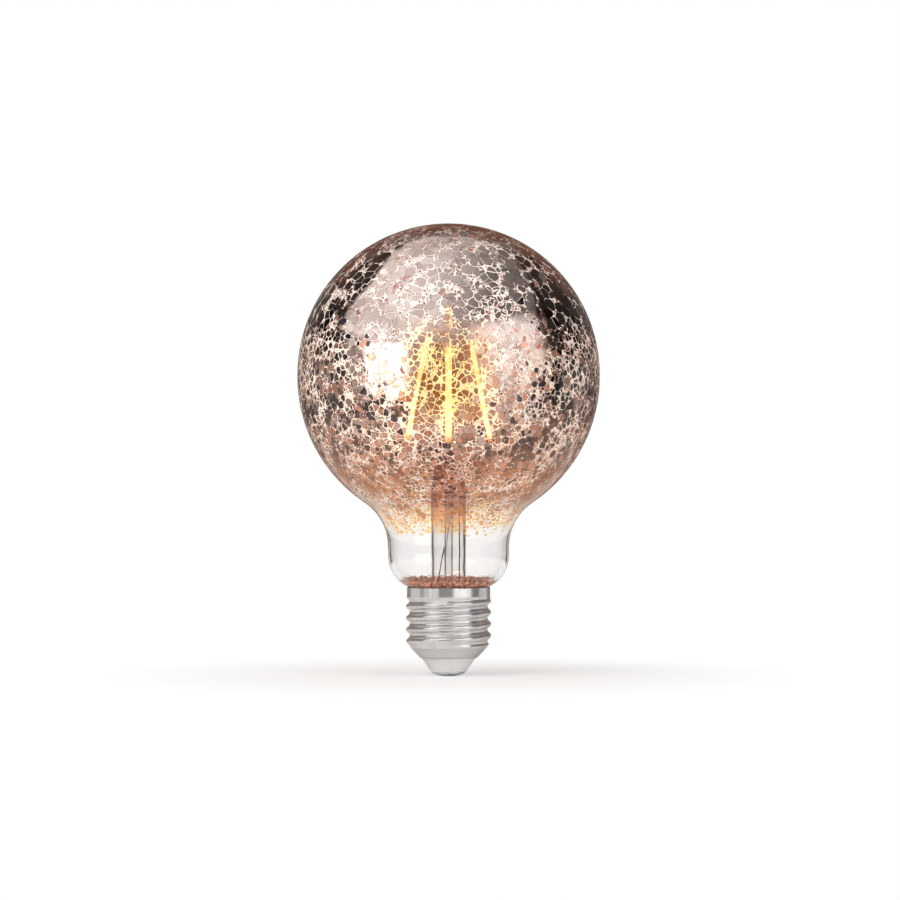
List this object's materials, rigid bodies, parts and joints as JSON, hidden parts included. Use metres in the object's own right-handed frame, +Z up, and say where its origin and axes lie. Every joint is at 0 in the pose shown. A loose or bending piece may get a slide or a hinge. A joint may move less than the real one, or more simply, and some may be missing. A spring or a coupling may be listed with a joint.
{
  "type": "globe light bulb",
  "caption": "Large round filament-style light bulb with a crackled copper and silver mirror globe, clear neck and metal screw cap.",
  "frame": {"origin": "lowest point of the centre contact, on the bulb's axis", "axes": "+Z up the bulb's axis from the contact to the top of the globe, -Y the front in the picture, +X to the right"},
  "size_m": [0.094, 0.094, 0.1406],
  "materials": {
    "coated_glass": "clear blown glass with a broken-up copper and silver mirror film, clear at the neck",
    "clear_glass": "clear drawn glass",
    "lit_strip": "phosphor coat, lit warm white",
    "tab_metal": "thin plated strip",
    "support_wire": "drawn wire, darkened at the welds",
    "copper_wire": "copper-clad wire",
    "tinned_wire": "tinned wire",
    "nickel_sheet": "nickel plate on rolled sheet, semi-gloss",
    "insulation": "pale grey moulded insulation",
    "contact_metal": "nickel plate",
    "cement": "cured capping cement",
    "board": "green laminate with solder mask",
    "chip_plastic": "moulded black package",
    "can_aluminium": "drawn can",
    "ferrite": "sintered ferrite",
    "winding": "enamelled copper winding",
    "resistor_body": "lacquered ceramic",
    "ceramic": "fired ceramic"
  },
  "bodies": {
    "root": {"bridge_rectifier": "chip_plastic", "cap_insulator": "insulation", "cap_shell": "nickel_sheet", "capping_cement": "cement", "centre_contact": "contact_metal", "ceramic_capacitor": "ceramic", "choke_core": "ferrite", "choke_winding": "winding", "circuit_board": "board", "contact_wire": "copper_wire", "driver_chip": "chip_plastic", "exhaust_tube": "clear_glass", "filament_back": "lit_strip", "filament_front": "lit_strip", "filament_left": "lit_strip", "filament_right": "lit_strip", "foot_tab_back": "tab_metal", "foot_tab_front": "tab_metal", "foot_tab_left": "tab_metal", "foot_tab_right": "tab_metal", "front_top_wire": "support_wire", "fusible_resistor": "resistor_body", "glass_post": "clear_glass", "globe_envelope": "coated_glass", "left_foot_wire": "support_wire", "left_lead_wire": "copper_wire", "resistor_lead_back": "tinned_wire", "resistor_lead_front": "tinned_wire", "right_foot_wire": "support_wire", "right_lead_wire": "copper_wire", "shell_wire": "copper_wire", "side_top_wire": "support_wire", "smoothing_capacitor": "can_aluminium", "stem": "clear_glass", "top_tab_back": "tab_metal", "top_tab_front": "tab_metal", "top_tab_left": "tab_metal", "top_tab_right": "tab_metal"}
  },
  "joints": []
}
